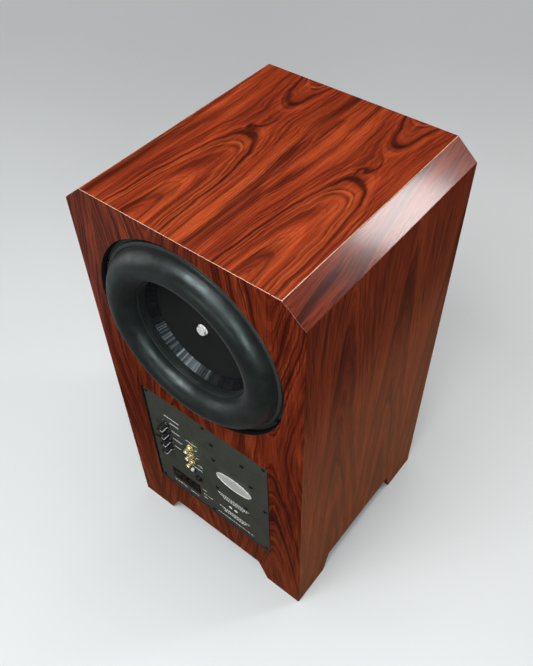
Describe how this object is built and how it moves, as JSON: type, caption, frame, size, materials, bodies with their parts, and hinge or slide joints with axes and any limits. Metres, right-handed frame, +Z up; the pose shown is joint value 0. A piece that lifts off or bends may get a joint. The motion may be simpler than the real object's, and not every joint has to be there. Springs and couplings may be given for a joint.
{
  "type": "subwoofer cabinet",
  "caption": "Floor-standing veneered subwoofer cabinet with bevelled top edges and cut-out feet, a passive radiator above an amplifier plate, and an active driver on the opposite face.",
  "frame": {"origin": "on the floor under the middle of the cabinet", "axes": "+Z up, -Y out of the service face with the radiator and the amplifier plate, +X to the right of somebody facing the service face"},
  "size_m": [0.381, 0.414, 0.76],
  "materials": {
    "veneer": "satin gloss rosewood veneer",
    "board": "raw fibreboard",
    "wadding": "loose fibre",
    "rubber": "satin",
    "cast_frame": "satin black powder coat",
    "gloss_black": "gloss",
    "black_paper": "matte pressed fibre",
    "spider_cloth": "treated cloth",
    "steel": "satin",
    "bright_steel": "polished",
    "black_steel": "black oxide",
    "ferrite": "matte sintered",
    "copper": "enamelled wire",
    "plate_grey": "fine matte texture",
    "black_plastic": "satin",
    "white_plastic": "satin",
    "gold": "gold plated",
    "silver_badge": "satin",
    "aluminium": "extruded",
    "circuit_green": "solder mask"
  },
  "bodies": {
    "cabinet": {"top_panel": "veneer", "left_bevel_panel": "veneer", "right_bevel_panel": "veneer", "left_side_panel": "veneer", "right_side_panel": "veneer", "rear_baffle": "veneer", "front_baffle": "veneer", "bottom_panel": "board", "window_brace": "board", "amp_chamber": "board", "damping_blanket": "wadding", "radiator_frame": "cast_frame", "radiator_surround": "rubber", "radiator_screw_1": "black_steel", "radiator_screw_2": "black_steel", "radiator_screw_3": "black_steel", "radiator_screw_4": "black_steel", "radiator_screw_5": "black_steel", "radiator_screw_6": "black_steel", "radiator_screw_7": "black_steel", "radiator_screw_8": "black_steel", "woofer_basket": "cast_frame", "woofer_surround": "rubber", "woofer_spider": "spider_cloth", "woofer_top_plate": "steel", "woofer_magnet": "ferrite", "woofer_back_plate": "steel", "amp_plate": "plate_grey", "plate_screw_1": "black_steel", "plate_screw_2": "black_steel", "plate_screw_3": "black_steel", "plate_screw_4": "black_steel", "plate_screw_5": "black_steel", "plate_screw_6": "black_steel", "plate_screw_7": "black_steel", "plate_screw_8": "black_steel", "left_input_jack": "gold", "right_input_jack": "gold", "lfe_input_jack": "gold", "trigger_jack": "black_plastic", "mains_module": "black_plastic", "badge_plate": "silver_badge", "heat_sink": "aluminium", "circuit_board": "circuit_green", "transformer": "copper", "speaker_cable": "rubber"},
    "radiator_cone": {"radiator_ring": "gloss_black", "radiator_diaphragm": "black_paper", "radiator_mass": "steel", "radiator_bolt": "bright_steel"},
    "woofer_cone": {"woofer_cone": "black_paper", "woofer_dust_cap": "black_paper", "woofer_voice_coil": "copper"},
    "level_knob": {"level_knob": "black_plastic"},
    "lowpass_knob": {"lowpass_knob": "black_plastic"},
    "phase_knob": {"phase_knob": "black_plastic"},
    "contour_knob": {"contour_knob": "black_plastic"},
    "mode_switch": {"mode_switch": "white_plastic"},
    "fuse_drawer": {"fuse_drawer": "black_plastic"},
    "power_rocker": {"power_rocker": "black_plastic"}
  },
  "joints": [
    {"name": "radiator_travel", "type": "slide", "parent": "cabinet", "child": "radiator_cone", "axis": [0, -1, 0], "range_m": [-0.018, 0.018], "stiffness_N_per_m": 1500, "deforming": ["radiator_surround"]},
    {"name": "woofer_travel", "type": "slide", "parent": "cabinet", "child": "woofer_cone", "axis": [0, 1, 0], "range_m": [-0.012, 0.012], "stiffness_N_per_m": 2500, "deforming": ["woofer_surround", "woofer_spider"]},
    {"name": "level_turn", "type": "hinge", "parent": "cabinet", "child": "level_knob", "pos_m": [-0.087, -0.1865, 0.315], "axis": [0, 1, 0], "range_deg": [-240, 60]},
    {"name": "lowpass_turn", "type": "hinge", "parent": "cabinet", "child": "lowpass_knob", "pos_m": [-0.087, -0.1865, 0.293], "axis": [0, 1, 0], "range_deg": [-240, 60]},
    {"name": "phase_turn", "type": "hinge", "parent": "cabinet", "child": "phase_knob", "pos_m": [-0.087, -0.1865, 0.271], "axis": [0, 1, 0], "range_deg": [-240, 60]},
    {"name": "contour_turn", "type": "hinge", "parent": "cabinet", "child": "contour_knob", "pos_m": [-0.087, -0.1865, 0.249], "axis": [0, 1, 0], "range_deg": [-240, 60]},
    {"name": "mode_slide", "type": "slide", "parent": "cabinet", "child": "mode_switch", "axis": [0, 0, -1], "range_m": [0, 0.004]},
    {"name": "fuse_slide", "type": "slide", "parent": "cabinet", "child": "fuse_drawer", "axis": [0, -1, 0], "range_m": [0, 0.012]},
    {"name": "power_rock", "type": "hinge", "parent": "cabinet", "child": "power_rocker", "pos_m": [-0.0815, -0.182, 0.157], "axis": [1, 0, 0], "range_deg": [-18, 0]}
  ]
}
